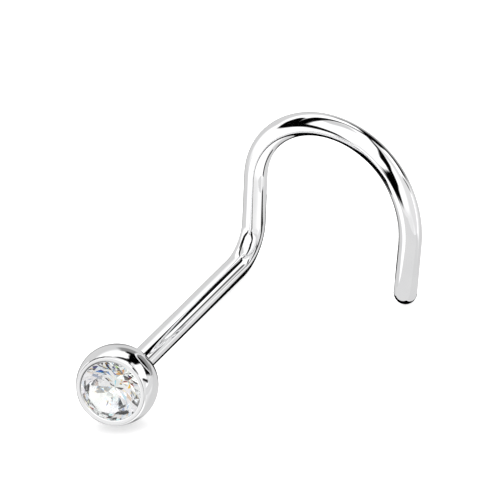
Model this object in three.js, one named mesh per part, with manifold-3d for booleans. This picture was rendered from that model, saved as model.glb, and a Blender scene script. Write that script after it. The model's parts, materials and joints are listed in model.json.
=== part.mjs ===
// Nose stud: a steel ball set with one round brilliant, on a wire post that ends in a screw hook.
// Millimetres, +Z up. It lies as it does by itself, on its ball, its elbow and the tip of its hook.
// The post runs along +Y away from the stone, and the hook opens to +X.
// The origin is on the surface that it rests on, at the middle of its bounding box.

import * as THREE from "three";
import { mergeVertices } from "three/addons/utils/BufferGeometryUtils.js";
import Module from "manifold-3d";

// Wire, from the ball's centre to the end of the hook, along its centreline
const wireDiameter = 0.8;
const postReach = 9.25;
const elbowRadius = 1.2;
const riserLength = 1.95;
const hookRadius = 2.9;
const hookTurn = 150;
const easingRadius = 4.0;
const easingTurn = 32;
const tailLength = 2.4;

// Stone, a round brilliant
const stoneDiameter = 2.2;
const tableDiameter = 1.42;
const crownHeight = 0.37;
const girdleHeight = 0.05;
const pavilionDepth = 0.95;
const starShare = 0.5;
const lowerFacetShare = 0.77;
const stoneTurn = 9;

// Setting, a ball cut flat at its rim
const rimHeight = 0.65;
const rimWidth = 0.175;
const rimOverlap = 0.065;
const rimThickness = 0.09;
const edgeRounding = 0.035;
const settingTilt = 15;
const settingTiltDirection = 38;

// Clearances and walls
const stoneClearance = 0.02;
const seatWall = 0.25;

// Fineness of the faceted solids
const wireSides = 20;
const bendStep = 6;
const ballSides = 48;
const edgeSteps = 3;

// Sizes that follow from those above
const wireRadius = wireDiameter / 2;
const stoneRadius = stoneDiameter / 2;
const apertureRadius = stoneRadius - rimOverlap;
const rimRadius = apertureRadius + rimWidth;
const ballRadius = Math.hypot(rimRadius, rimHeight);
const girdleTop = rimHeight - rimThickness;
const girdleBottom = girdleTop - girdleHeight;
const culetHeight = girdleBottom - pavilionDepth;

const radians = THREE.MathUtils.degToRad;

// Bend table of the wire. The post is straight, the elbow turns square to it, and everything after
// the elbow lies in one plane across the post.
const bends = [
  { length: postReach - elbowRadius, radius: elbowRadius, turn: 90, about: "elbow" },
  { length: riserLength, radius: hookRadius, turn: hookTurn, about: "hook" },
  { length: 0, radius: easingRadius, turn: easingTurn, about: "hook" },
  { length: tailLength - wireRadius, radius: 0, turn: 0, about: "hook" },
];

// In the wire's own frame the ball's centre is the origin, the post is +Z and the riser is +X
const postDirection = new THREE.Vector3(0, 0, 1);
const riserDirection = new THREE.Vector3(1, 0, 0);
const bendAxes = {
  elbow: new THREE.Vector3(0, 1, 0),
  hook: postDirection.clone(),
};

const wasm = await Module();
wasm.setup();

// Walks the bend table from a first point and gives the stations that carry a ring of the wire
function wireStations(start) {
  const point = start.clone();
  const tangent = postDirection.clone();
  const stations = [{ point: point.clone(), tangent: tangent.clone() }];
  let travelled = start.z;
  for (const bend of bends) {
    const straight = bend.length - travelled;
    travelled = 0;
    if (straight > 0) {
      point.addScaledVector(tangent, straight);
      stations.push({ point: point.clone(), tangent: tangent.clone() });
    }
    if (bend.radius === 0) continue;
    const axis = bendAxes[bend.about];
    const toCentre = new THREE.Vector3().crossVectors(axis, tangent).multiplyScalar(bend.radius);
    const centre = point.clone().add(toCentre);
    const steps = Math.max(1, Math.round(bend.turn / bendStep));
    const firstTangent = tangent.clone();
    for (let step = 1; step <= steps; step += 1) {
      const angle = radians((bend.turn * step) / steps);
      point.copy(centre).sub(toCentre.clone().applyAxisAngle(axis, angle));
      tangent.copy(firstTangent).applyAxisAngle(axis, angle);
      stations.push({ point: point.clone(), tangent: tangent.clone() });
    }
  }
  return stations;
}

// A curve whose even steps land on the stations, so bends are fine and straights are one step
class StationCurve extends THREE.Curve {
  constructor(stations) {
    super();
    this.stations = stations;
  }

  station(t) {
    return this.stations[Math.round(t * (this.stations.length - 1))];
  }

  getPoint(t, target = new THREE.Vector3()) {
    return target.copy(this.station(t).point);
  }

  getTangent(t, target = new THREE.Vector3()) {
    return target.copy(this.station(t).tangent);
  }

  getUtoTmapping(u) {
    return u;
  }
}

function polygonShape(radius, sides) {
  const corners = [];
  for (let side = 0; side < sides; side += 1) {
    const angle = (2 * Math.PI * side) / sides;
    corners.push(new THREE.Vector2(radius * Math.cos(angle), radius * Math.sin(angle)));
  }
  return new THREE.Shape(corners);
}

// Points of an arc in a lathe's profile, about a centre given as radius and height
function arcPoints(centre, radius, fromDegrees, toDegrees, steps) {
  const points = [];
  for (let step = 0; step <= steps; step += 1) {
    const angle = radians(fromDegrees + ((toDegrees - fromDegrees) * step) / steps);
    points.push([centre[0] + radius * Math.cos(angle), centre[1] + radius * Math.sin(angle)]);
  }
  return points;
}

// A solid of revolution about +Z from a profile of [radius, height], bottom to top
function latheAboutZ(profile, sides) {
  const points = profile.map(([radius, height]) => new THREE.Vector2(radius, height));
  return new THREE.LatheGeometry(points, sides).rotateX(Math.PI / 2);
}

function toManifold(geometry) {
  const bare = geometry.clone();
  bare.deleteAttribute("normal");
  bare.deleteAttribute("uv");
  const merged = mergeVertices(bare, 1e-5);
  return new wasm.Manifold(new wasm.Mesh({
    numProp: 3,
    vertProperties: new Float32Array(merged.attributes.position.array),
    triVerts: new Uint32Array(merged.index.array),
  }));
}

function toGeometry(solid) {
  const mesh = solid.getMesh();
  const geometry = new THREE.BufferGeometry();
  geometry.setAttribute("position", new THREE.BufferAttribute(mesh.vertProperties, 3));
  geometry.setIndex(new THREE.BufferAttribute(mesh.triVerts, 1));
  return geometry;
}

// Setting: a ball about the origin with its rim facing +Z, open to a pocket for the stone
function settingGeometry() {
  const seatRadius = stoneRadius + stoneClearance;
  const seatSlope = pavilionDepth / stoneRadius;
  const seatEdge = girdleBottom - stoneClearance;
  const innerRounding = edgeRounding / 2;
  const rimAngle = THREE.MathUtils.radToDeg(Math.atan2(rimHeight - edgeRounding, rimRadius));
  const bottomToRim = arcPoints([0, 0], ballRadius, -90, rimAngle, ballSides / 3);
  bottomToRim[0][0] = 0;
  const outerEdge = arcPoints(
    [rimRadius - edgeRounding, rimHeight - edgeRounding], edgeRounding, rimAngle, 90, edgeSteps,
  );
  const innerEdge = arcPoints(
    [apertureRadius + innerRounding, rimHeight - innerRounding], innerRounding, 90, 180, edgeSteps,
  );
  return latheAboutZ([
    ...bottomToRim,
    ...outerEdge,
    ...innerEdge,
    [apertureRadius, rimHeight - rimThickness / 2],
    [seatRadius, girdleTop + stoneClearance],
    [seatRadius, seatEdge],
    [0, seatEdge - seatRadius * seatSlope],
  ], ballSides);
}

// Where the post starts, inside the metal behind the stone's seat
function postRoot() {
  const seatPoint = -(girdleBottom - stoneClearance - (stoneRadius + stoneClearance)
    * (pavilionDepth / stoneRadius));
  return new THREE.Vector3(0, 0, seatPoint + seatWall);
}

function wireSolid() {
  const stations = wireStations(postRoot());
  const tube = new THREE.ExtrudeGeometry(polygonShape(wireRadius, wireSides), {
    steps: stations.length - 1,
    extrudePath: new StationCurve(stations),
    bevelEnabled: false,
  });
  const end = stations[stations.length - 1];
  const tip = new THREE.SphereGeometry(wireRadius, wireSides, wireSides / 2);
  tip.rotateX(Math.PI / 2);
  tip.applyQuaternion(new THREE.Quaternion().setFromUnitVectors(postDirection, end.tangent));
  tip.translate(end.point.x, end.point.y, end.point.z);
  return toManifold(tube).add(toManifold(tip));
}

// The setting's turn from the wire's frame: its rim faces back along the post, and leans by its tilt
function settingTurn() {
  const leanTowards = riserDirection.clone()
    .applyAxisAngle(postDirection, radians(settingTiltDirection));
  const facing = postDirection.clone().negate().multiplyScalar(Math.cos(radians(settingTilt)))
    .addScaledVector(leanTowards, Math.sin(radians(settingTilt)));
  return new THREE.Quaternion().setFromUnitVectors(postDirection, facing);
}

// Stone: table, star, kite and upper girdle facets, a girdle, and the pavilion down to its culet.
// Each kite lies in one plane, which sets the height of the corners between its neighbours.
function stoneGeometry() {
  const eighth = Math.PI / 4;
  const half = Math.cos(eighth / 2);
  const tableRadius = tableDiameter / 2;
  const tableHeight = girdleTop + crownHeight;
  const crownSlope = crownHeight / (stoneRadius - tableRadius);
  const pavilionSlope = pavilionDepth / stoneRadius;
  const starRadius = tableRadius * half + starShare * (stoneRadius - tableRadius * half);
  const starHeight = girdleTop + (stoneRadius - starRadius * half) * crownSlope;
  const lowerRadius = stoneRadius * (1 - lowerFacetShare);
  const lowerHeight = girdleBottom - (stoneRadius - lowerRadius * half) * pavilionSlope;

  const corners = [];
  const corner = (radius, eighths, height) => {
    const angle = eighth * eighths;
    corners.push(radius * Math.cos(angle), radius * Math.sin(angle), height);
    return corners.length / 3 - 1;
  };
  const ring = (count, radius, offset, height) => {
    const names = [];
    for (let place = 0; place < count; place += 1) {
      names.push(corner(radius, (8 * place) / count + offset, height));
    }
    return (place) => names[((place % count) + count) % count];
  };
  const table = ring(8, tableRadius, 0, tableHeight);
  const star = ring(8, starRadius, 0.5, starHeight);
  const upper = ring(16, stoneRadius, 0, girdleTop);
  const lower = ring(16, stoneRadius, 0, girdleBottom);
  const pavilion = ring(8, lowerRadius, 0.5, lowerHeight);
  const tableCentre = corner(0, 0, tableHeight);
  const culet = corner(0, 0, culetHeight);

  const faces = [];
  for (let k = 0; k < 8; k += 1) {
    faces.push(
      [tableCentre, table(k), table(k + 1)],
      [table(k), star(k), table(k + 1)],
      [table(k), star(k - 1), upper(2 * k)],
      [table(k), upper(2 * k), star(k)],
      [star(k), upper(2 * k), upper(2 * k + 1)],
      [star(k), upper(2 * k + 1), upper(2 * k + 2)],
      [upper(2 * k), lower(2 * k), lower(2 * k + 1)],
      [upper(2 * k), lower(2 * k + 1), upper(2 * k + 1)],
      [upper(2 * k + 1), lower(2 * k + 1), lower(2 * k + 2)],
      [upper(2 * k + 1), lower(2 * k + 2), upper(2 * k + 2)],
      [pavilion(k), lower(2 * k + 1), lower(2 * k)],
      [pavilion(k), lower(2 * k + 2), lower(2 * k + 1)],
      [culet, lower(2 * k), pavilion(k - 1)],
      [culet, pavilion(k), lower(2 * k)],
    );
  }
  const geometry = new THREE.BufferGeometry();
  geometry.setAttribute("position", new THREE.Float32BufferAttribute(corners, 3));
  geometry.setIndex(faces.flat());
  return geometry.rotateZ(radians(stoneTurn));
}

// The way up when the stud rests: each of three round feet, the ball, the elbow and the tip, stands
// its own radius above the surface. The elbow's foot moves along its bend as the stud leans.
function restingUp() {
  const stations = wireStations(postRoot());
  const tipFoot = stations[stations.length - 1].point;
  const elbowCentre = postDirection.clone().multiplyScalar(postReach - elbowRadius)
    .addScaledVector(riserDirection, elbowRadius);
  const drop = wireRadius - ballRadius;
  const up = riserDirection.clone();
  for (let pass = 0; pass < 40; pass += 1) {
    const lean = up.clone().projectOnPlane(bendAxes.elbow).normalize();
    const elbowFoot = elbowCentre.clone().addScaledVector(lean, -elbowRadius);
    const across = new THREE.Vector3().crossVectors(elbowFoot, tipFoot);
    const within = new THREE.Vector3().crossVectors(tipFoot.clone().sub(elbowFoot), across)
      .multiplyScalar(drop / across.lengthSq());
    across.normalize();
    if (across.dot(riserDirection) < 0) across.negate();
    up.copy(within).addScaledVector(across, Math.sqrt(1 - within.lengthSq()));
  }
  return up;
}

const steel = new THREE.MeshStandardMaterial({ color: 0xd9d9dc, roughness: 0.08, metalness: 1.0 });
const clearStone = new THREE.MeshStandardMaterial({ color: 0xf4f6fa, roughness: 0.02, metalness: 0.0 });

const turn = settingTurn();

const metal = toManifold(settingGeometry().applyQuaternion(turn)).add(wireSolid());
const metalMesh = new THREE.Mesh(toGeometry(metal), steel);
metalMesh.name = "ball_setting_and_screw_wire";

const stoneMesh = new THREE.Mesh(stoneGeometry().applyQuaternion(turn), clearStone);
stoneMesh.name = "round_brilliant";

// Lay the stud down on its three feet, with the post over +Y, and bring it over the origin
const up = restingUp();
const along = postDirection.clone().projectOnPlane(up).normalize();
const sideways = new THREE.Vector3().crossVectors(along, up);
const laying = new THREE.Matrix4().makeBasis(sideways, along, up).transpose();
const laid = new THREE.Group();
laid.add(metalMesh, stoneMesh);
laid.quaternion.setFromRotationMatrix(laying);
laid.position.z = ballRadius;
laid.updateMatrixWorld(true);
const middle = new THREE.Box3().setFromObject(laid, true).getCenter(new THREE.Vector3());
laid.position.x = -middle.x;
laid.position.y = -middle.y;

const noseStud = new THREE.Group();
noseStud.name = "nose_stud";
noseStud.add(laid);

export default noseStud;
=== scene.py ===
import json
import math
from typing import NamedTuple

import bpy
from mathutils import Matrix, Quaternion, Vector


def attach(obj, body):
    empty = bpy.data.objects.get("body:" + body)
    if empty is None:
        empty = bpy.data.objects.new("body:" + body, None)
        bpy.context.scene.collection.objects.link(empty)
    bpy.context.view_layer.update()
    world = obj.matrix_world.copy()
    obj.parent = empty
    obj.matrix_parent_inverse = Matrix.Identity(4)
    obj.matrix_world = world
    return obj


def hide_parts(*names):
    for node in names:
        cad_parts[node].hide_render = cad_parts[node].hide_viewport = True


# A nose stud: a polished ball set with a round brilliant, on a wire that ends in a screw hook.
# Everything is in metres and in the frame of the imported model, which gives each piece its place.

bl_info = {
    "name": "Screw Nose Stud",
    "version": (1, 0, 0),
    "blender": (4, 5, 0),
    "location": "3D View > Sidebar > Nose Stud",
    "description": "Builds a nose stud with a round brilliant on a screw wire, and a small studio round it",
    "category": "Add Mesh",
}

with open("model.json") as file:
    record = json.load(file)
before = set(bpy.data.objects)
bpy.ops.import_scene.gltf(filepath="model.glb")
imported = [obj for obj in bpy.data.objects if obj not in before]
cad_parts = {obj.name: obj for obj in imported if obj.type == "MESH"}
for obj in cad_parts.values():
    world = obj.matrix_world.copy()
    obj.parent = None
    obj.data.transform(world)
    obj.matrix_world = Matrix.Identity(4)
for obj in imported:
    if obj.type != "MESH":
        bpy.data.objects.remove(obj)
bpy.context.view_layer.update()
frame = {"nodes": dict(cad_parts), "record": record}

METAL_NODE = "ball_setting_and_screw_wire"
STONE_NODE = "round_brilliant"
MILLIMETRE = 0.001


# Sizes and colours that a user may change

class WireSizes(bpy.types.PropertyGroup):
    """The wire's bend table, from the ball's centre to the end of the hook"""

    diameter: bpy.props.FloatProperty(
        name="Wire Diameter", description="Thickness of the round wire",
        default=0.8 * MILLIMETRE, unit="LENGTH", precision=5)
    post_reach: bpy.props.FloatProperty(
        name="Post Reach", description="From the ball's centre to the middle of the riser's wire",
        default=9.25 * MILLIMETRE, unit="LENGTH", precision=5)
    elbow_radius: bpy.props.FloatProperty(
        name="Elbow Radius", description="Bend radius between the post and the riser, at the wire's middle",
        default=1.2 * MILLIMETRE, unit="LENGTH", precision=5)
    riser_length: bpy.props.FloatProperty(
        name="Riser Length", description="Straight wire between the elbow and the hook",
        default=1.95 * MILLIMETRE, unit="LENGTH", precision=5)
    hook_radius: bpy.props.FloatProperty(
        name="Hook Radius", description="Bend radius of the hook, at the wire's middle",
        default=2.9 * MILLIMETRE, unit="LENGTH", precision=5)
    hook_turn: bpy.props.FloatProperty(
        name="Hook Turn", description="How far the wire turns round the hook",
        default=math.radians(150), subtype="ANGLE")
    easing_radius: bpy.props.FloatProperty(
        name="Easing Radius", description="Wider bend that follows the hook",
        default=4.0 * MILLIMETRE, unit="LENGTH", precision=5)
    easing_turn: bpy.props.FloatProperty(
        name="Easing Turn", description="How far the wire turns round the wider bend",
        default=math.radians(32), subtype="ANGLE")
    tail_length: bpy.props.FloatProperty(
        name="Tail Length", description="Straight end of the hook, with its round tip",
        default=2.4 * MILLIMETRE, unit="LENGTH", precision=5)
    weld_radius: bpy.props.FloatProperty(
        name="Weld Radius", description="Small hollow of solder where the post meets the ball",
        default=0.05 * MILLIMETRE, unit="LENGTH", precision=5)
    sides: bpy.props.IntProperty(
        name="Sides", description="Faces round the wire", default=72, min=8)


class SettingSizes(bpy.types.PropertyGroup):
    """The ball that is cut flat at its rim and hollowed for the stone"""

    rim_height: bpy.props.FloatProperty(
        name="Rim Height", description="From the ball's centre to the flat of its rim",
        default=0.65 * MILLIMETRE, unit="LENGTH", precision=5)
    rim_width: bpy.props.FloatProperty(
        name="Rim Width", description="Width of the flat ring round the stone",
        default=0.175 * MILLIMETRE, unit="LENGTH", precision=5)
    rim_overlap: bpy.props.FloatProperty(
        name="Rim Overlap", description="How far the rim reaches over the stone's edge",
        default=0.065 * MILLIMETRE, unit="LENGTH", precision=5)
    rim_thickness: bpy.props.FloatProperty(
        name="Rim Thickness", description="Metal of the rim over the stone's girdle",
        default=0.09 * MILLIMETRE, unit="LENGTH", precision=5)
    edge_rounding: bpy.props.FloatProperty(
        name="Edge Rounding", description="Radius of the rim's polished outer edge",
        default=0.035 * MILLIMETRE, unit="LENGTH", precision=5)
    tilt: bpy.props.FloatProperty(
        name="Tilt", description="How far the setting leans from square on its post",
        default=math.radians(15), subtype="ANGLE")
    tilt_direction: bpy.props.FloatProperty(
        name="Tilt Direction", description="Which way it leans, from the riser round the post",
        default=math.radians(38), subtype="ANGLE")
    stone_clearance: bpy.props.FloatProperty(
        name="Stone Clearance", description="Gap between the stone and its seat",
        default=0.02 * MILLIMETRE, unit="LENGTH", precision=5)
    sides: bpy.props.IntProperty(
        name="Sides", description="Faces round the ball", default=144, min=16)


class StoneSizes(bpy.types.PropertyGroup):
    """The round brilliant, as its seat and its table need it"""

    diameter: bpy.props.FloatProperty(
        name="Stone Diameter", description="Width of the stone at its girdle",
        default=2.2 * MILLIMETRE, unit="LENGTH", precision=5)
    crown_height: bpy.props.FloatProperty(
        name="Crown Height", description="From the girdle up to the table",
        default=0.37 * MILLIMETRE, unit="LENGTH", precision=5)
    girdle_height: bpy.props.FloatProperty(
        name="Girdle Height", description="Thickness of the stone's edge",
        default=0.05 * MILLIMETRE, unit="LENGTH", precision=5)
    pavilion_depth: bpy.props.FloatProperty(
        name="Pavilion Depth", description="From the girdle down to the culet",
        default=0.95 * MILLIMETRE, unit="LENGTH", precision=5)


class FinishColours(bpy.types.PropertyGroup):
    """Colours and polish of the metal and the stone"""

    steel: bpy.props.FloatVectorProperty(
        name="Steel", description="Colour of the polished steel",
        default=(0.97, 0.97, 0.975), subtype="COLOR", min=0, max=1)
    steel_shade: bpy.props.FloatVectorProperty(
        name="Steel Shade", description="Slightly darker steel in the clouds of its polish",
        default=(0.935, 0.935, 0.945), subtype="COLOR", min=0, max=1)
    polish: bpy.props.FloatProperty(
        name="Polish", description="Roughness of the best polished steel",
        default=0.02, subtype="FACTOR", min=0, max=1)
    wear: bpy.props.FloatProperty(
        name="Wear", description="Roughness that fine polishing lines add",
        default=0.04, subtype="FACTOR", min=0, max=1)
    stone: bpy.props.FloatVectorProperty(
        name="Stone", description="Colour of the clear stone",
        default=(0.995, 0.998, 1.0), subtype="COLOR", min=0, max=1)
    stone_tint: bpy.props.FloatProperty(
        name="Stone Tint", description="How much the tints of the stone's patches show",
        default=0.05, subtype="FACTOR", min=0, max=1)
    # Painted light: how brightly the seat inside the ball glows, standing in for light that the seat throws
    # back through the stone
    seat_glow: bpy.props.FloatProperty(
        name="Seat Glow", description="Light that the seat throws back through the stone",
        default=0.3, min=0)
    stone_index: bpy.props.FloatProperty(
        name="Stone Index", description="Refractive index of the clear stone",
        default=1.76, min=1, max=4)


class StudioSettings(bpy.types.PropertyGroup):
    """Camera, floor and light tent"""

    azimuth: bpy.props.FloatProperty(
        name="Camera Azimuth", description="Camera's angle round the stud, from the front to the right",
        default=math.radians(32.1), subtype="ANGLE")
    elevation: bpy.props.FloatProperty(
        name="Camera Elevation", description="Camera's angle above the floor",
        default=math.radians(38.7), subtype="ANGLE")
    roll: bpy.props.FloatProperty(
        name="Camera Roll", description="Turn of the picture about the lens",
        default=math.radians(-5.2), subtype="ANGLE")
    distance: bpy.props.FloatProperty(
        name="Camera Distance", description="From the lens to the ball",
        default=300 * MILLIMETRE, unit="LENGTH")
    frame_width: bpy.props.FloatProperty(
        name="Frame Width", description="Width of the picture at the ball",
        default=16.6 * MILLIMETRE, unit="LENGTH", precision=5)
    aim_right: bpy.props.FloatProperty(
        name="Aim Right", description="How far right of the ball's centre the lens points",
        default=4.41 * MILLIMETRE, unit="LENGTH", precision=5)
    aim_up: bpy.props.FloatProperty(
        name="Aim Up", description="How far above the ball's centre the lens points, in the picture",
        default=4.47 * MILLIMETRE, unit="LENGTH", precision=5)
    floor_size: bpy.props.FloatProperty(
        name="Floor Size", description="Width of the white floor",
        default=1.2, unit="LENGTH")
    floor_colour: bpy.props.FloatVectorProperty(
        name="Floor Colour", description="Colour of the white floor",
        default=(0.9, 0.9, 0.9), subtype="COLOR", min=0, max=1)
    floor_glow: bpy.props.FloatProperty(
        name="Floor Glow", description="Light of the floor's own, as of a light table",
        default=0.6, min=0)
    shade_glow: bpy.props.FloatProperty(
        name="Shade Glow", description="Light of the floor's own in the middle of the shade by the ball",
        default=0.15, min=0)
    shade_start: bpy.props.FloatProperty(
        name="Shade Start", description="How far to the side of the shade's middle the glow begins to rise",
        default=0.3 * MILLIMETRE, unit="LENGTH", precision=5)
    shade_end: bpy.props.FloatProperty(
        name="Shade End", description="How far to the side of the shade's middle the floor glows in full",
        default=2.3 * MILLIMETRE, unit="LENGTH", precision=5)
    shade_forward: bpy.props.FloatProperty(
        name="Shade Forward", description="How far the shade's middle is in front of the ball's foot",
        default=0.6 * MILLIMETRE, unit="LENGTH", precision=5)
    shade_flatness: bpy.props.FloatProperty(
        name="Shade Flatness", description="How much wider than deep the oval shade is",
        default=2.6, min=1)
    tent_light: bpy.props.FloatProperty(
        name="Tent Light", description="Brightness of the white tent", default=1.15, min=0)
    stone_light: bpy.props.FloatProperty(
        name="Stone Light", description="Brightness of the tent as the stone shows it", default=0.85, min=0)
    fire: bpy.props.FloatProperty(
        name="Fire", description="How far the stone spreads red and blue apart", default=0.03, min=0, max=0.5)


class StudSettings(bpy.types.PropertyGroup):
    """Everything that the panel shows"""

    wire: bpy.props.PointerProperty(
        type=WireSizes, name="Wire", description="Sizes of the wire")
    setting: bpy.props.PointerProperty(
        type=SettingSizes, name="Setting", description="Sizes of the ball setting")
    stone: bpy.props.PointerProperty(
        type=StoneSizes, name="Stone", description="Sizes of the stone")
    finish: bpy.props.PointerProperty(
        type=FinishColours, name="Finish", description="Colours and polish")
    studio: bpy.props.PointerProperty(
        type=StudioSettings, name="Studio", description="Camera, floor and light")


# Places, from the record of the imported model

class StudAxes(NamedTuple):
    """The ball's centre and the directions that the pieces are built along"""

    centre: Vector
    post: Vector
    riser: Vector
    facing: Vector


def record_mount(name):
    for mount in frame["record"]["mounts"]:
        if mount["name"] == name:
            return Vector(mount["pos_m"]), Vector(mount["axis"]).normalized()
    raise KeyError(f"the record has no mount named {name}")


def table_height(settings):
    return settings.setting.rim_height - settings.setting.rim_thickness + settings.stone.crown_height


def stud_axes(settings):
    """The stone's table gives the ball's centre and the facing, and the post's mount gives the post."""
    table_centre, facing = record_mount("stone_table")
    post = record_mount("post_in_piercing")[1]
    tilt = settings.setting.tilt
    leaning = (facing + post * math.cos(tilt)) / math.sin(tilt)
    riser = Quaternion(post, -settings.setting.tilt_direction) @ leaning
    return StudAxes(table_centre - facing * table_height(settings), post, riser.normalized(), facing)


def turned_frame(origin, x_axis, z_axis):
    """The matrix that takes a piece's own frame to the stud's place"""
    y_axis = z_axis.cross(x_axis)
    turned = Matrix((x_axis, y_axis, z_axis)).transposed().to_4x4()
    return Matrix.Translation(origin) @ turned


# Meshes

def arc_points(centre, radius, first, last, steps):
    """Points of an arc in a lathe's profile, as (radius, height), both ends among them"""
    points = []
    for step in range(steps + 1):
        angle = first + (last - first) * step / steps
        points.append((centre[0] + radius * math.cos(angle), centre[1] + radius * math.sin(angle)))
    return points


def lathe_mesh(name, profile, sides):
    """A surface of revolution about Z, from the bottom pole outside round to the pole inside"""
    corners = []
    rings = []
    for radius, height in profile:
        count = 1 if radius == 0 else sides
        rings.append([len(corners) + side for side in range(count)])
        for side in range(count):
            angle = 2 * math.pi * side / sides
            corners.append((radius * math.cos(angle), radius * math.sin(angle), height))
    faces = []
    for lower, upper in zip(rings, rings[1:]):
        for side in range(sides):
            here, there = side, (side + 1) % sides
            corners_of_face = [
                lower[here % len(lower)], lower[there % len(lower)],
                upper[there % len(upper)], upper[here % len(upper)],
            ]
            faces.append(list(dict.fromkeys(corners_of_face)))
    mesh = bpy.data.meshes.new(name)
    mesh.from_pydata(corners, [], faces)
    mesh.shade_smooth()
    return mesh


def piece_from_mesh(name, mesh, material):
    piece = bpy.data.objects.new(name, mesh)
    bpy.context.scene.collection.objects.link(piece)
    mesh.materials.clear()
    mesh.materials.append(material)
    return piece


def ball_radius(settings):
    rim_radius = settings.stone.diameter / 2 - settings.setting.rim_overlap + settings.setting.rim_width
    return math.hypot(rim_radius, settings.setting.rim_height)


def setting_profile(settings):
    """Outside from the pole to the rim, over the rim's two rounded edges, and down the seat to its point"""
    setting, stone = settings.setting, settings.stone
    opening_radius = stone.diameter / 2 - setting.rim_overlap
    rim_radius = opening_radius + setting.rim_width
    rounding = setting.edge_rounding
    inner_rounding = rounding / 2
    seat_radius = stone.diameter / 2 + setting.stone_clearance
    girdle_top = setting.rim_height - setting.rim_thickness
    seat_edge = girdle_top - stone.girdle_height - setting.stone_clearance
    seat_point = seat_edge - seat_radius * stone.pavilion_depth / (stone.diameter / 2)
    rim_angle = math.atan2(setting.rim_height - rounding, rim_radius)
    quarter = math.pi / 2
    ball_steps = 90
    outer_edge_steps = 10
    inner_edge_steps = 6
    outside = arc_points((0, 0), ball_radius(settings), -quarter, rim_angle, ball_steps)
    outside[0] = (0, outside[0][1])
    outer_edge = arc_points(
        (rim_radius - rounding, setting.rim_height - rounding),
        rounding, rim_angle, quarter, outer_edge_steps)
    inner_edge = arc_points(
        (opening_radius + inner_rounding, setting.rim_height - inner_rounding),
        inner_rounding, quarter, 2 * quarter, inner_edge_steps)
    return [
        *outside, *outer_edge, *inner_edge,
        (opening_radius, setting.rim_height - setting.rim_thickness / 2),
        (seat_radius, girdle_top + setting.stone_clearance),
        (seat_radius, seat_edge),
        (0, seat_point),
    ]


def root_height(settings):
    """Where the weld's edge lies on the ball, along the post"""
    weld_edge = settings.wire.diameter / 2 + settings.wire.weld_radius
    return math.sqrt(ball_radius(settings) ** 2 - weld_edge ** 2)


def wire_points(settings):
    """The wire's middle line in its own frame: the post along Z, the riser along X, the hook towards Y"""
    wire = settings.wire
    post, riser, side = Vector((0, 0, 1)), Vector((1, 0, 0)), Vector((0, 1, 0))
    straight_step = 0.12 * MILLIMETRE
    bend_step = math.radians(2)
    end_steps = 16
    tip_radius = wire.diameter / 2
    root = root_height(settings)
    bend_table = [
        (wire.post_reach - wire.elbow_radius - root - wire.weld_radius, wire.elbow_radius, math.pi / 2, side),
        (wire.riser_length, wire.hook_radius, wire.hook_turn, post),
        (0, wire.easing_radius, wire.easing_turn, post),
        (wire.tail_length - tip_radius, 0, 0, post),
    ]
    heading = post.copy()
    points = []
    for step in range(end_steps):
        share = 1 - math.cos(math.pi / 2 * step / end_steps)
        points.append(post * (root + wire.weld_radius * share))
    points.append(post * (root + wire.weld_radius))
    for straight, radius, turn, axis in bend_table:
        steps = max(1, round(straight / straight_step))
        start = points[-1].copy()
        for step in range(1, steps + 1):
            if straight > 0:
                points.append(start + heading * (straight * step / steps))
        if radius == 0:
            continue
        to_centre = axis.cross(heading) * radius
        centre = points[-1] + to_centre
        steps = max(1, round(turn / bend_step))
        for step in range(1, steps + 1):
            turned = Quaternion(axis, turn * step / steps) @ to_centre
            points.append(centre - turned)
        heading = Quaternion(axis, turn) @ heading
    start = points[-1].copy()
    for step in range(1, end_steps + 1):
        points.append(start + heading * (tip_radius * math.sin(math.pi / 2 * step / end_steps)))
    return points


def curve_through(name, points):
    """An open curve of straight steps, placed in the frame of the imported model"""
    data = bpy.data.curves.new(name, "CURVE")
    data.dimensions = "3D"
    spline = data.splines.new("POLY")
    spline.points.add(len(points) - 1)
    for place, point in zip(spline.points, points):
        place.co = (*point, 1)
    path = bpy.data.objects.new(name, data)
    bpy.context.scene.collection.objects.link(path)
    return path


# Node trees

class TreeBuilder:
    """Adds nodes to a tree and links them, so that a formula reads from left to right"""

    def __init__(self, tree):
        self.tree = tree

    def node(self, kind, inputs=(), **settings):
        made = self.tree.nodes.new(kind)
        for name, value in settings.items():
            setattr(made, name, value)
        for key, value in dict(inputs).items():
            self.feed(made.inputs[key], value)
        return made

    def feed(self, socket, value):
        if isinstance(value, bpy.types.NodeSocket):
            self.tree.links.new(value, socket)
        else:
            socket.default_value = value

    def math(self, operation, first, second=0.0, clamp=False):
        made = self.node("ShaderNodeMath", operation=operation, use_clamp=clamp)
        self.feed(made.inputs[0], first)
        if len(made.inputs) > 1:
            self.feed(made.inputs[1], second)
        return made.outputs[0]

    def vector(self, operation, first, second=None, output="Vector"):
        made = self.node("ShaderNodeVectorMath", operation=operation)
        self.feed(made.inputs[0], first)
        if second is not None:
            self.feed(made.inputs[1], second)
        return made.outputs[output]

    def mix_colour(self, share, first, second):
        made = self.node("ShaderNodeMix", data_type="RGBA")
        self.feed(made.inputs["Factor"], share)
        self.feed(made.inputs["A"], first)
        self.feed(made.inputs["B"], second)
        return made.outputs["Result"]

    def mix_shader(self, share, first, second):
        made = self.node("ShaderNodeMixShader")
        self.feed(made.inputs[0], share)
        self.feed(made.inputs[1], first.outputs[0])
        self.feed(made.inputs[2], second.outputs[0])
        return made

    def noise(self, coordinates, scale, detail=2.0, roughness=0.5):
        made = self.node("ShaderNodeTexNoise", {
            "Vector": coordinates, "Scale": scale, "Detail": detail, "Roughness": roughness})
        return made.outputs["Fac"]

    def mapped(self, value, low, high, to_low=0.0, to_high=1.0, smooth=False):
        made = self.node("ShaderNodeMapRange", {
            "Value": value, "From Min": low, "From Max": high, "To Min": to_low, "To Max": to_high,
        }, interpolation_type="SMOOTHSTEP" if smooth else "LINEAR", clamp=True)
        return made.outputs["Result"]


def opaque(colour):
    return (*colour, 1.0)


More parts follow.
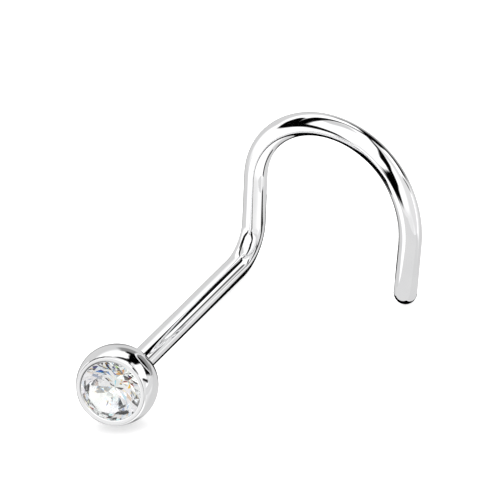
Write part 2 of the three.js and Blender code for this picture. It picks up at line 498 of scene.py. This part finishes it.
def wire_tree():
    """Sweeps a circle along the path, with a hollow weld at its root and a half ball at its tip"""
    closing_distance = 0.0005 * MILLIMETRE
    tree = bpy.data.node_groups.new("Round Wire", "GeometryNodeTree")
    tree.is_modifier = True
    face = tree.interface
    face.new_socket("Path", in_out="INPUT", socket_type="NodeSocketGeometry")
    for name in ("Diameter", "Weld Radius"):
        face.new_socket(name, in_out="INPUT", socket_type="NodeSocketFloat").subtype = "DISTANCE"
    face.new_socket("Sides", in_out="INPUT", socket_type="NodeSocketInt")
    face.new_socket("Material", in_out="INPUT", socket_type="NodeSocketMaterial")
    face.new_socket("Wire", in_out="OUTPUT", socket_type="NodeSocketGeometry")
    build = TreeBuilder(tree)
    given = build.node("NodeGroupInput").outputs
    radius = build.math("DIVIDE", given["Diameter"], 2.0)
    along = build.node("GeometryNodeSplineParameter").outputs["Length"]
    whole = build.node("GeometryNodeSplineLength").outputs["Length"]

    def quarter_round(distance, reach):
        share = build.math("DIVIDE", distance, reach, clamp=True)
        rest = build.math("SUBTRACT", 1.0, share)
        return build.math("SQRT", build.math("SUBTRACT", 1.0, build.math("MULTIPLY", rest, rest)))

    tip = quarter_round(build.math("SUBTRACT", whole, along), radius)
    hollow = build.math("SUBTRACT", 1.0, quarter_round(along, given["Weld Radius"]))
    weld = build.math("MULTIPLY", hollow, build.math("DIVIDE", given["Weld Radius"], radius))
    last_point = build.node("GeometryNodeCurveEndpointSelection", {"Start Size": 0, "End Size": 1}).outputs[0]
    closed_tip = build.math("MULTIPLY", tip, build.math("SUBTRACT", 1.0, last_point))
    thickness = build.math("ADD", closed_tip, weld)
    measured = build.node("GeometryNodeStoreNamedAttribute", {
        "Geometry": given["Path"], "Name": "along", "Value": along}, data_type="FLOAT", domain="POINT")
    circle = build.node("GeometryNodeCurvePrimitiveCircle", {
        "Resolution": given["Sides"], "Radius": radius}, mode="RADIUS")
    section = build.node("GeometryNodeStoreNamedAttribute", {
        "Geometry": circle.outputs["Curve"], "Name": "section",
        "Value": build.node("GeometryNodeInputPosition").outputs[0],
    }, data_type="FLOAT_VECTOR", domain="POINT")
    swept = build.node("GeometryNodeCurveToMesh", {
        "Curve": measured.outputs[0], "Profile Curve": section.outputs[0],
        "Scale": thickness, "Fill Caps": True})
    merged = build.node("GeometryNodeMergeByDistance", {
        "Geometry": swept.outputs[0], "Distance": closing_distance})
    smooth = build.node("GeometryNodeSetShadeSmooth", {"Geometry": merged.outputs[0]})
    realized = build.node("GeometryNodeRealizeInstances", {"Geometry": smooth.outputs[0]})
    dressed = build.node("GeometryNodeSetMaterial", {
        "Geometry": realized.outputs[0], "Material": given["Material"]})
    build.node("NodeGroupOutput", {"Wire": dressed.outputs[0]})
    return tree


def set_modifier_input(modifier, name, value):
    for item in modifier.node_group.interface.items_tree:
        if item.item_type == "SOCKET" and item.in_out == "INPUT" and item.name == name:
            modifier[item.identifier] = value
            return
    raise KeyError(f"the tree has no input named {name}")


def new_material(name):
    material = bpy.data.materials.new(name)
    material.use_nodes = True
    material.node_tree.nodes.clear()
    return material, TreeBuilder(material.node_tree)


def steel_material(finish, name, straightened, painted_glow_seat=None):
    """Mirror polished steel: polishing lines along the wire, or fine grain on a ball whose seat glows with
    painted light, standing in for light thrown back through the stone
    """
    cloud_scale = 900.0
    line_scale = 22000.0
    line_shortness = 0.05
    line_depth = 0.0005 * MILLIMETRE
    line_strength = 0.03
    # Shares of the ball's radius where the seat's painted glow begins and where it is full
    seat_edge = 0.93
    seat_inside = 0.87
    material, build = new_material(name)
    if straightened:
        section = build.node("ShaderNodeAttribute", attribute_name="section").outputs["Vector"]
        along = build.node("ShaderNodeAttribute", attribute_name="along").outputs["Fac"]
        shortened = build.math("MULTIPLY", along, line_shortness)
        lengthwise = build.node("ShaderNodeCombineXYZ", {"Z": shortened}).outputs[0]
        line_place = build.vector("ADD", section, lengthwise)
    else:
        line_place = build.node("ShaderNodeTexCoord").outputs["Object"]
    object_place = build.node("ShaderNodeTexCoord").outputs["Object"]
    clouds = build.noise(object_place, cloud_scale, detail=3.0)
    lines = build.noise(line_place, line_scale, roughness=0.6)
    cloudiness = build.mapped(clouds, 0.35, 0.7)
    colour = build.mix_colour(cloudiness, opaque(finish.steel), opaque(finish.steel_shade))
    roughness = build.mapped(lines, 0.35, 0.75, finish.polish, finish.polish + finish.wear)
    bump = build.node("ShaderNodeBump", {
        "Height": lines, "Strength": line_strength, "Distance": line_depth})
    surface = build.node("ShaderNodeBsdfPrincipled", {
        "Base Color": colour, "Metallic": 1.0, "Roughness": roughness, "Normal": bump.outputs[0]})
    # Painted light: the seat, deeper in the ball than its outside, glows as no lamp does, standing in for
    # light thrown back through the stone
    if painted_glow_seat:
        centre, radius = painted_glow_seat
        depth = build.vector("DISTANCE", object_place, centre, "Value")
        build.feed(surface.inputs["Emission Color"], (1.0, 1.0, 1.0, 1.0))
        build.feed(surface.inputs["Emission Strength"], build.mapped(
            depth, seat_edge * radius, seat_inside * radius, 0.0, finish.seat_glow))
    build.node("ShaderNodeOutputMaterial", {"Surface": surface.outputs[0]})
    return material


def stone_material(finish):
    """Clear cubic zirconia, with a breath of another tint from one patch to the next"""
    patch_scale = 1800.0
    smear_scale = 2500.0
    smear_roughness = 0.012
    material, build = new_material("clear_zirconia")
    place = build.node("ShaderNodeTexCoord").outputs["Object"]
    patches = build.node("ShaderNodeTexVoronoi", {"Vector": place, "Scale": patch_scale})
    colour = build.mix_colour(finish.stone_tint, opaque(finish.stone), patches.outputs["Color"])
    smears = build.noise(place, smear_scale, detail=3.0)
    surface = build.node("ShaderNodeBsdfPrincipled", {
        "Base Color": colour, "Transmission Weight": 1.0, "IOR": finish.stone_index,
        "Roughness": build.mapped(smears, 0.45, 0.8, 0.0, smear_roughness)})
    build.node("ShaderNodeOutputMaterial", {"Surface": surface.outputs[0]})
    return material


def floor_material(studio, contact):
    """White board on a light table, whose glow is weaker in an oval shade in front of the ball"""
    grain_scale = 4000.0
    grain_shade = 0.99
    material, build = new_material("white_board")
    place = build.node("ShaderNodeTexCoord").outputs["Object"]
    grain = build.noise(place, grain_scale)
    grain_colour = tuple(grain_shade * channel for channel in studio.floor_colour)
    colour = build.mix_colour(grain, opaque(studio.floor_colour), opaque(grain_colour))
    right, _, back = camera_axes(studio)
    sideways = Vector((right.x, right.y, 0)).normalized()
    forwards = Vector((back.x, back.y, 0)).normalized()
    from_middle = build.vector("SUBTRACT", place, contact + forwards * studio.shade_forward)
    across = build.vector("DOT_PRODUCT", from_middle, sideways, "Value")
    deep = build.vector("DOT_PRODUCT", from_middle, forwards * studio.shade_flatness, "Value")
    rounded = build.node("ShaderNodeCombineXYZ", {"X": across, "Y": deep}).outputs[0]
    away = build.vector("LENGTH", rounded, output="Value")
    glow = build.mapped(
        away, studio.shade_start, studio.shade_end, studio.shade_glow, studio.floor_glow, smooth=True)
    surface = build.node("ShaderNodeBsdfPrincipled", {
        "Base Color": colour, "Roughness": 1.0, "Specular IOR Level": 0.0,
        "Emission Color": (1.0, 1.0, 1.0, 1.0), "Emission Strength": glow})
    build.node("ShaderNodeOutputMaterial", {"Surface": surface.outputs[0]})
    return material


# Studio

class Panel(NamedTuple):
    """A card or light of the tent, in degrees off the photo's viewing axis and round it from the right"""

    off_axis: float
    around: float
    roll: float
    half_width: float
    half_height: float
    softness: float
    light: float
    tint: tuple = (1.0, 1.0, 1.0)


class Hold(NamedTuple):
    """A place where a black drape is held, and half its width there, in degrees as for a panel"""

    off_axis: float
    around: float
    half_width: float


GREY_CARDS = {
    "grey card behind": Panel(180, 0, 0, 66, 66, 8, 0.68),
    "far grey card": Panel(166, 140, 0, 24, 8, 4, 0.32),
    "right grey card": Panel(78, 5, 0, 50, 32, 8, 0.80),
    "high grey card": Panel(60, 108, 0, 20, 12, 5, 0.68),
    "high pale card": Panel(78, 98, 0, 26, 8, 4, 0.84),
    "low pale card": Panel(60, 275, 0, 32, 12, 5, 0.86),
    "low dark card": Panel(150, 262, 0, 20, 9, 5, 0.12),
    "low left dark card": Panel(143, 211, 0, 8, 10, 4, 0.15),
    "dark card behind": Panel(124, 52, 0, 30, 10, 4, 0.28),
    "black card behind": Panel(106, 46, 0, 28, 11, 3, 0.0),
}

BLACK_DRAPES = {
    "high left drape": (
        Hold(86, 137, 5),
        Hold(82, 154, 9),
        Hold(78, 174, 10),
        Hold(68, 196, 8),
        Hold(66, 208, 6),
        Hold(71, 217, 4),
    ),
    "left drape": (
        Hold(70, 190, 5),
        Hold(67, 165, 6),
        Hold(70, 140, 8),
        Hold(79, 114, 8),
        Hold(86, 88, 6),
        Hold(81, 62, 6),
    ),
    "drape behind": (
        Hold(84, 62, 6),
        Hold(94, 54, 13),
        Hold(106, 56, 11),
    ),
    "front drape": (
        Hold(66, 232, 4),
        Hold(57, 234, 7),
        Hold(46, 247, 9),
        Hold(34, 258, 8),
        Hold(25, 285, 7),
        Hold(17, 318, 7),
        Hold(14, 350, 9),
        Hold(26, 25, 9),
        Hold(46, 44, 5),
        Hold(74, 60, 3),
    ),
}

DRAPE_SOFTNESS = math.radians(2)

SOFT_LIGHTS = {
    "right soft light": Panel(84, 28, 12, 17, 12, 3, 1.3),
    "high soft light": Panel(96, 100, 0, 31, 10, 3, 1.3),
    "right strip light": Panel(95, 345, 0, 18, 5, 3, 1.3),
    "black wedge": Panel(88, 9, 20, 3, 10, 2, 0.0),
    "front soft light": Panel(56, 223, 0, 6, 7, 2, 0.86),
}

STONE_PANELS = {
    "high white light": Panel(50, 66, 0, 13, 10, 3, 1.4),
    "left white light": Panel(24, 158, 0, 8, 7, 3, 1.3),
    "blue grey card": Panel(6, 289, 0, 9, 9, 3, 0.42, (0.85, 0.98, 1.15)),
    "pale blue card": Panel(22, 58, 0, 8, 8, 3, 0.68, (0.92, 1.0, 1.1)),
    "amber card": Panel(44, 134, 0, 5, 5, 3, 0.55, (1.15, 1.0, 0.6)),
    "high black card": Panel(41, 100, 0, 13, 8, 2, 0.02),
    "low dark blue card": Panel(34, 302, 0, 10, 7, 2, 0.03, (0.8, 0.9, 1.3)),
    "right black card": Panel(43, 341, 0, 9, 18, 2, 0.02),
    "far left black card": Panel(44, 185, 0, 12, 10, 2, 0.02),
    "far low black card": Panel(48, 265, 0, 12, 10, 2, 0.02),
}


class FloorCard(NamedTuple):
    """A card that lies on the floor, where only reflections show it, placed and sized in millimetres: painted
    shade, standing in for the floor's shade by the wire as the steel reflects it
    """

    middle_x: float
    middle_y: float
    length_x: float
    length_y: float
    light: float


# Dark and grey cards by the wire: painted shade in the steel's reflections of the floor, where the floor lies
# in the wire's shade
FLOOR_CARDS = {
    "shade_card_under_post": FloorCard(-2.4, 2.3, 1.3, 11.4, 0.0),
    "shade_card_inside_hook": FloorCard(0.5, 5.35, 2.4, 0.9, 0.0),
    "shade_card_under_tip": FloorCard(3.1, 4.55, 1.3, 1.1, 0.0),
    "shade_card_by_hook": FloorCard(5.7, -2.0, 7.8, 12.0, 0.74),
    "shade_card_right_of_hook": FloorCard(6.7, 4.8, 5.8, 1.6, 0.7),
}

FLOOR_CARD_HEIGHT = 0.02 * MILLIMETRE


def direction_to(azimuth, elevation):
    """Azimuth 0 is in front of the stone, and grows to the right, as the camera's does"""
    level = math.cos(elevation)
    return Vector((math.sin(azimuth) * level, -math.cos(azimuth) * level, math.sin(elevation)))


def camera_axes(studio):
    """Right, up and back of the camera that takes the photo"""
    back = direction_to(studio.azimuth, studio.elevation)
    level = Vector((math.cos(studio.azimuth), math.sin(studio.azimuth), 0))
    right = Quaternion(back, studio.roll) @ level
    return right, back.cross(right), back


def placed_frame(axes, place):
    """Where a panel or hold is, seen from the stud, then the ways round the viewing axis and away from it"""
    right, up, back = axes
    off_axis = math.radians(place.off_axis)
    around = math.radians(place.around)
    spoke = right * math.cos(around) + up * math.sin(around)
    facing = spoke * math.sin(off_axis) + back * math.cos(off_axis)
    outward = spoke * math.cos(off_axis) - back * math.sin(off_axis)
    return facing, up * math.cos(around) - right * math.sin(around), outward


def panel_group():
    """How far a direction lies on a panel, from 0 off it to 1 on it"""
    group = bpy.data.node_groups.new("Tent Panel", "ShaderNodeTree")
    for name in ("Direction", "Facing", "Across", "Upward"):
        group.interface.new_socket(name, in_out="INPUT", socket_type="NodeSocketVector")
    for name in ("Half Width", "Half Height", "Softness"):
        group.interface.new_socket(name, in_out="INPUT", socket_type="NodeSocketFloat")
    group.interface.new_socket("Share", in_out="OUTPUT", socket_type="NodeSocketFloat")
    build = TreeBuilder(group)
    given = build.node("NodeGroupInput").outputs

    def part(axis):
        return build.vector("DOT_PRODUCT", given["Direction"], given[axis], "Value")

    sideways = build.math("ARCTAN2", part("Across"), part("Facing"))
    upwards = build.math("ARCSINE", part("Upward"))

    def within(distance, half):
        outer = build.math("ADD", given[half], given["Softness"])
        inner = build.math("SUBTRACT", given[half], given["Softness"])
        return build.mapped(build.math("ABSOLUTE", distance), outer, inner, smooth=True)

    share = build.math("MULTIPLY", within(sideways, "Half Width"), within(upwards, "Half Height"))
    build.node("NodeGroupOutput", {"Share": share})
    return group


def drape_group():
    """How far a direction lies beyond the edge of one length of drape, less than 0 where it is on it"""
    group = bpy.data.node_groups.new("Drape Length", "ShaderNodeTree")
    for name in ("Direction", "Start", "End"):
        group.interface.new_socket(name, in_out="INPUT", socket_type="NodeSocketVector")
    for name in ("Start Width", "End Width"):
        group.interface.new_socket(name, in_out="INPUT", socket_type="NodeSocketFloat")
    group.interface.new_socket("Beyond", in_out="OUTPUT", socket_type="NodeSocketFloat")
    build = TreeBuilder(group)
    given = build.node("NodeGroupInput").outputs
    length = build.vector("SUBTRACT", given["End"], given["Start"])
    from_start = build.vector("SUBTRACT", given["Direction"], given["Start"])
    passed = build.vector("DOT_PRODUCT", from_start, length, "Value")
    whole = build.vector("DOT_PRODUCT", length, length, "Value")
    share = build.math("DIVIDE", passed, whole, clamp=True)
    stepped = build.node("ShaderNodeVectorMath", {0: length, "Scale": share}, operation="SCALE").outputs[0]
    nearest = build.vector("NORMALIZE", build.vector("ADD", given["Start"], stepped))
    distance = build.vector("DISTANCE", given["Direction"], nearest, "Value")
    widening = build.math("MULTIPLY", build.math("SUBTRACT", given["End Width"], given["Start Width"]), share)
    width = build.math("ADD", given["Start Width"], widening)
    build.node("NodeGroupOutput", {"Beyond": build.math("SUBTRACT", distance, width)})
    return group


def draped_light(build, direction, axes, drapes, colour):
    """Black drapes over what the tent shows so far"""
    group = drape_group()
    beyond = None
    for holds in drapes.values():
        for first, last in zip(holds, holds[1:]):
            placed = build.node("ShaderNodeGroup", {"Direction": direction}, node_tree=group)
            for end, hold in (("Start", first), ("End", last)):
                build.feed(placed.inputs[end], placed_frame(axes, hold)[0])
                build.feed(placed.inputs[f"{end} Width"], math.radians(hold.half_width))
            here = placed.outputs["Beyond"]
            beyond = here if beyond is None else build.math("MINIMUM", beyond, here)
    share = build.mapped(beyond, DRAPE_SOFTNESS, -DRAPE_SOFTNESS, smooth=True)
    return build.mix_colour(share, colour, (0.0, 0.0, 0.0, 1.0))


def panelled_light(build, direction, axes, panels, group, colour):
    """Cards and lights laid over what the tent shows so far, in order"""
    for panel in panels.values():
        facing, sideways, outward = placed_frame(axes, panel)
        roll = math.radians(panel.roll)
        across = sideways * math.cos(roll) + outward * math.sin(roll)
        placed = build.node("ShaderNodeGroup", node_tree=group)
        for name, value in {
            "Direction": direction, "Facing": facing, "Across": across, "Upward": across.cross(facing),
            "Half Width": math.radians(panel.half_width), "Half Height": math.radians(panel.half_height),
            "Softness": math.radians(panel.softness),
        }.items():
            build.feed(placed.inputs[name], value)
        shown = tuple(panel.light * channel for channel in panel.tint)
        colour = build.mix_colour(placed.outputs["Share"], colour, (*shown, 1.0))
    return colour


def split_light(build, direction, axes, panels, group, base, spread):
    """The same for light that leaves the stone, which its facets split into colours"""
    rise = 0.7
    channels = []
    for shift in (spread, 0.0, -spread):
        bent = build.vector("NORMALIZE", build.vector("ADD", direction, (shift, 0.0, rise * shift)))
        channels.append(panelled_light(build, bent, axes, panels, group, base))
    joined = build.node("ShaderNodeCombineColor", {
        name: build.node("ShaderNodeSeparateColor", {"Color": channel}).outputs[name]
        for name, channel in zip(("Red", "Green", "Blue"), channels)})
    return joined.outputs[0]


def build_tent(studio):
    """The world is the tent, white all round, with cards and lights that only the steel and the stone show"""
    world = bpy.data.worlds.new("light_tent")
    bpy.context.scene.world = world
    world.use_nodes = True
    world.node_tree.nodes.clear()
    build = TreeBuilder(world.node_tree)
    direction = build.node("ShaderNodeTexCoord").outputs["Generated"]
    group = panel_group()
    axes = camera_axes(studio)
    light = (studio.tent_light,) * 3 + (1.0,)
    stone_light = (studio.stone_light,) * 3 + (1.0,)
    greys = panelled_light(build, direction, axes, GREY_CARDS, group, light)
    draped = draped_light(build, direction, axes, BLACK_DRAPES, greys)
    mirrored = panelled_light(build, direction, axes, SOFT_LIGHTS, group, draped)
    split = split_light(build, direction, axes, STONE_PANELS, group, stone_light, studio.fire)
    ray = build.node("ShaderNodeLightPath").outputs
    plain_tent = build.node("ShaderNodeBackground", {"Color": light})
    mirrored_tent = build.node("ShaderNodeBackground", {"Color": mirrored})
    stone_tent = build.node("ShaderNodeBackground", {"Color": split})
    for_metal = build.mix_shader(ray["Is Glossy Ray"], plain_tent, mirrored_tent)
    for_all = build.mix_shader(ray["Is Transmission Ray"], for_metal, stone_tent)
    build.node("ShaderNodeOutputWorld", {"Surface": for_all.outputs[0]})


def level_mesh(name, middle_x, middle_y, length_x, length_y, height):
    """A level rectangle that faces up"""
    corners = []
    for side, end in ((-0.5, -0.5), (0.5, -0.5), (0.5, 0.5), (-0.5, 0.5)):
        corners.append((middle_x + side * length_x, middle_y + end * length_y, height))
    mesh = bpy.data.meshes.new(name)
    mesh.from_pydata(corners, [], [(0, 1, 2, 3)])
    return mesh


def build_floor(settings):
    width = settings.studio.floor_size
    mesh = level_mesh("white_floor", 0, 0, width, width, 0)
    centre = stud_axes(settings).centre
    material = floor_material(settings.studio, Vector((centre.x, centre.y, 0)))
    floor = piece_from_mesh("white_floor", mesh, material)
    floor.visible_glossy = False
    floor.visible_transmission = False
    for name, card in FLOOR_CARDS.items():
        build_floor_card(name, card)


# A card of painted shade, that only reflections show
def build_floor_card(name, card):
    mesh = level_mesh(
        name, card.middle_x * MILLIMETRE, card.middle_y * MILLIMETRE,
        card.length_x * MILLIMETRE, card.length_y * MILLIMETRE, FLOOR_CARD_HEIGHT)
    material, build = new_material(name)
    surface = build.node("ShaderNodeEmission", {"Color": (card.light,) * 3 + (1.0,)})
    build.node("ShaderNodeOutputMaterial", {"Surface": surface.outputs[0]})
    laid = piece_from_mesh(name, mesh, material)
    laid.visible_camera = False
    laid.visible_diffuse = False
    laid.visible_shadow = False
    laid.visible_transmission = False


def build_camera(settings):
    """A long lens, turned and aimed so that the stud lies in the picture as in the photo"""
    studio = settings.studio
    nearest = studio.distance / 100
    farthest = studio.distance * 10
    centre = stud_axes(settings).centre
    right, up, back = camera_axes(studio)
    data = bpy.data.cameras.new("camera")
    data.lens = data.sensor_width * studio.distance / studio.frame_width
    data.clip_start = nearest
    data.clip_end = farthest
    camera = bpy.data.objects.new("camera", data)
    bpy.context.scene.collection.objects.link(camera)
    place = centre + right * studio.aim_right + up * studio.aim_up + back * studio.distance
    camera.matrix_world = turned_frame(place, right, back)
    bpy.context.scene.camera = camera


# Operators

class STUD_OT_screw_wire(bpy.types.Operator):
    """Bend the wire: post, elbow, riser and hook, with a round tip"""

    bl_idname = "stud.screw_wire"
    bl_label = "Screw Wire"

    def execute(self, context):
        settings = context.scene.nose_stud
        axes = stud_axes(settings)
        placing = turned_frame(axes.centre, axes.riser, axes.post)
        path = curve_through("wire_path", [placing @ point for point in wire_points(settings)])
        material = steel_material(settings.finish, "drawn_polished_steel", straightened=True)
        modifier = path.modifiers.new("Round Wire", "NODES")
        modifier.node_group = wire_tree()
        set_modifier_input(modifier, "Diameter", settings.wire.diameter)
        set_modifier_input(modifier, "Weld Radius", settings.wire.weld_radius)
        set_modifier_input(modifier, "Sides", settings.wire.sides)
        set_modifier_input(modifier, "Material", material)
        evaluated = path.evaluated_get(context.evaluated_depsgraph_get())
        mesh = bpy.data.meshes.new_from_object(evaluated)
        path.modifiers.remove(modifier)
        bpy.data.objects.remove(path)
        wire = piece_from_mesh("screw_wire", mesh, material)
        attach(wire, "root")
        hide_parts(METAL_NODE)
        return {"FINISHED"}


class STUD_OT_ball_setting(bpy.types.Operator):
    """Turn the ball with its flat rim and the stone's seat"""

    bl_idname = "stud.ball_setting"
    bl_label = "Ball Setting"

    def execute(self, context):
        settings = context.scene.nose_stud
        axes = stud_axes(settings)
        mesh = lathe_mesh("ball_setting", setting_profile(settings), settings.setting.sides)
        across = axes.riser.cross(axes.facing).normalized()
        mesh.transform(turned_frame(axes.centre, across, axes.facing))
        # The ball's seat glows with painted light
        material = steel_material(
            settings.finish, "turned_polished_steel", straightened=False,
            painted_glow_seat=(axes.centre, ball_radius(settings)))
        ball = piece_from_mesh("ball_setting", mesh, material)
        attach(ball, "root")
        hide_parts(METAL_NODE)
        return {"FINISHED"}


class STUD_OT_round_brilliant(bpy.types.Operator):
    """Give the cut stone its clear finish"""

    bl_idname = "stud.round_brilliant"
    bl_label = "Round Brilliant"

    def execute(self, context):
        stone = frame["nodes"][STONE_NODE]
        material = stone_material(context.scene.nose_stud.finish)
        if not stone.material_slots:
            stone.data.materials.append(material)
        for place in stone.material_slots:
            place.material = material
        return {"FINISHED"}


class STUD_OT_studio(bpy.types.Operator):
    """Set up the white floor, the light tent and the camera"""

    bl_idname = "stud.studio"
    bl_label = "Studio"

    def execute(self, context):
        settings = context.scene.nose_stud
        build_floor(settings)
        build_tent(settings.studio)
        build_camera(settings)
        context.scene.view_settings.view_transform = "Standard"
        return {"FINISHED"}


class STUD_PT_pieces(bpy.types.Panel):
    """Lists the stud's pieces, with their sizes and finishes"""

    bl_idname = "STUD_PT_pieces"
    bl_label = "Nose Stud"
    bl_space_type = "VIEW_3D"
    bl_region_type = "UI"
    bl_category = "Nose Stud"

    def draw(self, context):
        settings = context.scene.nose_stud
        for operator in PIECE_OPERATORS:
            self.layout.operator(operator.bl_idname)
        for group in (settings.wire, settings.setting, settings.stone, settings.finish, settings.studio):
            box = self.layout.box()
            for name in type(group).__annotations__:
                box.prop(group, name)


PIECE_OPERATORS = (STUD_OT_studio, STUD_OT_screw_wire, STUD_OT_ball_setting, STUD_OT_round_brilliant)
CLASSES = (
    WireSizes, SettingSizes, StoneSizes, FinishColours, StudioSettings, StudSettings,
    *PIECE_OPERATORS, STUD_PT_pieces,
)


def register():
    for one in CLASSES:
        bpy.utils.register_class(one)
    bpy.types.Scene.nose_stud = bpy.props.PointerProperty(
        type=StudSettings, name="Nose Stud", description="Sizes and finishes of the nose stud")


def unregister():
    del bpy.types.Scene.nose_stud
    for one in reversed(CLASSES):
        bpy.utils.unregister_class(one)


def main():
    register()
    bpy.ops.stud.studio()
    bpy.ops.stud.screw_wire()
    bpy.ops.stud.ball_setting()
    bpy.ops.stud.round_brilliant()


if __name__ == "__main__":
    main()
